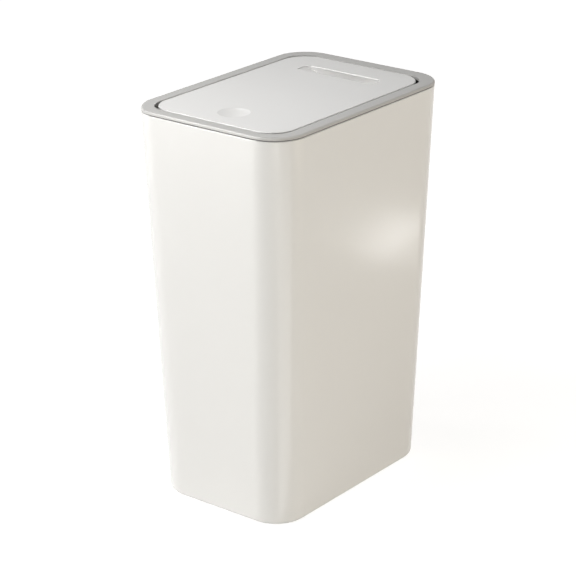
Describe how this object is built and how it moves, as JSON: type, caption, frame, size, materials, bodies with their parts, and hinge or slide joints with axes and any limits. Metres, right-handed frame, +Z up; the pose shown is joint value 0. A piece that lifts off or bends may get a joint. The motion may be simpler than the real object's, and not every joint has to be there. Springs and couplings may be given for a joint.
{
  "type": "push top bin",
  "caption": "Slim tapered bin with rounded corners, a lift-off rim ring on an inner frame, and a flush hinged lid that springs open when its front is pressed.",
  "frame": {"origin": "middle of the foot on the table, at the bottom centre of the bounding box", "axes": "+Z up; -Y is the short front side with the press dimple, +Y the hinge side; X runs across the narrow width"},
  "size_m": [0.1586, 0.2264, 0.34],
  "materials": {
    "body_white": "semi-gloss moulded polypropylene, warm white",
    "lid_white": "satin moulded plastic, white",
    "ring_grey": "satin warm grey moulded plastic",
    "frame_grey": "matt moulded plastic, grey",
    "liner_white": "matt moulded plastic, off-white",
    "latch_grey": "matt acetal, dark grey",
    "acetal_white": "matt acetal, natural white",
    "damper_black": "matt black moulded plastic",
    "screw_steel": "zinc-plated steel",
    "spring_steel": "drawn spring wire",
    "striker_steel": "nickel-plated sheet steel",
    "magnet": "nickel-plated magnet"
  },
  "bodies": {
    "bucket": {"bin_body": "body_white"},
    "rim": {"rim_ring": "ring_grey", "inner_frame": "frame_grey", "ring_screws": "screw_steel", "damper_housing": "damper_black", "damper_screws": "screw_steel", "latch_housing": "latch_grey", "latch_cover": "latch_grey", "latch_screws": "screw_steel", "latch_spring": "spring_steel"},
    "hinge_pins": {"hinge_pin_left": "spring_steel", "hinge_pin_right": "spring_steel", "pin_clips": "spring_steel", "torsion_spring_left": "spring_steel", "torsion_spring_right": "spring_steel"},
    "lid": {"lid_panel": "lid_white", "lid_liner": "liner_white", "liner_screws": "screw_steel", "striker_plate": "striker_steel", "striker_screws": "screw_steel"},
    "plunger": {"latch_plunger": "acetal_white", "latch_magnet": "magnet"},
    "cam_pin": {"cam_pin": "spring_steel"},
    "damper_gear": {"damper_gear": "acetal_white"}
  },
  "joints": [
    {"name": "frame_lift", "type": "slide", "parent": "bucket", "child": "rim", "axis": [0, 0, 1], "range_m": [0, 0.12]},
    {"name": "lid_press", "type": "hinge", "parent": "rim", "child": "hinge_pins", "pos_m": [0, 0.07885, 0.334], "axis": [-1, 0, 0], "range_deg": [-0.67, 0], "stiffness_Nm_per_rad": 40, "springref_deg": 1.15},
    {"name": "lid_open", "type": "hinge", "parent": "hinge_pins", "child": "lid", "pos_m": [0, 0.07885, 0.334], "axis": [-1, 0, 0], "range_deg": [0, 85]},
    {"name": "latch_plunge", "type": "slide", "parent": "rim", "child": "plunger", "axis": [0, 0, 1], "range_m": [-0.002, 0], "deforming": ["latch_spring"]},
    {"name": "cam_swing", "type": "hinge", "parent": "rim", "child": "cam_pin", "pos_m": [0, -0.08545, 0.29885], "axis": [0, 1, 0], "range_deg": [0, 2.9]},
    {"name": "damper_turn", "type": "hinge", "parent": "rim", "child": "damper_gear", "pos_m": [0, 0.06693, 0.32209], "axis": [-1, 0, 0], "range_deg": [-213, 0]}
  ],
  "couplings": [
    {"joint": "latch_plunge", "follows": "lid_press", "m_per_rad": 0.1694},
    {"joint": "cam_swing", "follows": "lid_press", "ratio": -4.235},
    {"joint": "damper_turn", "follows": "lid_open", "ratio": -2.5}
  ]
}
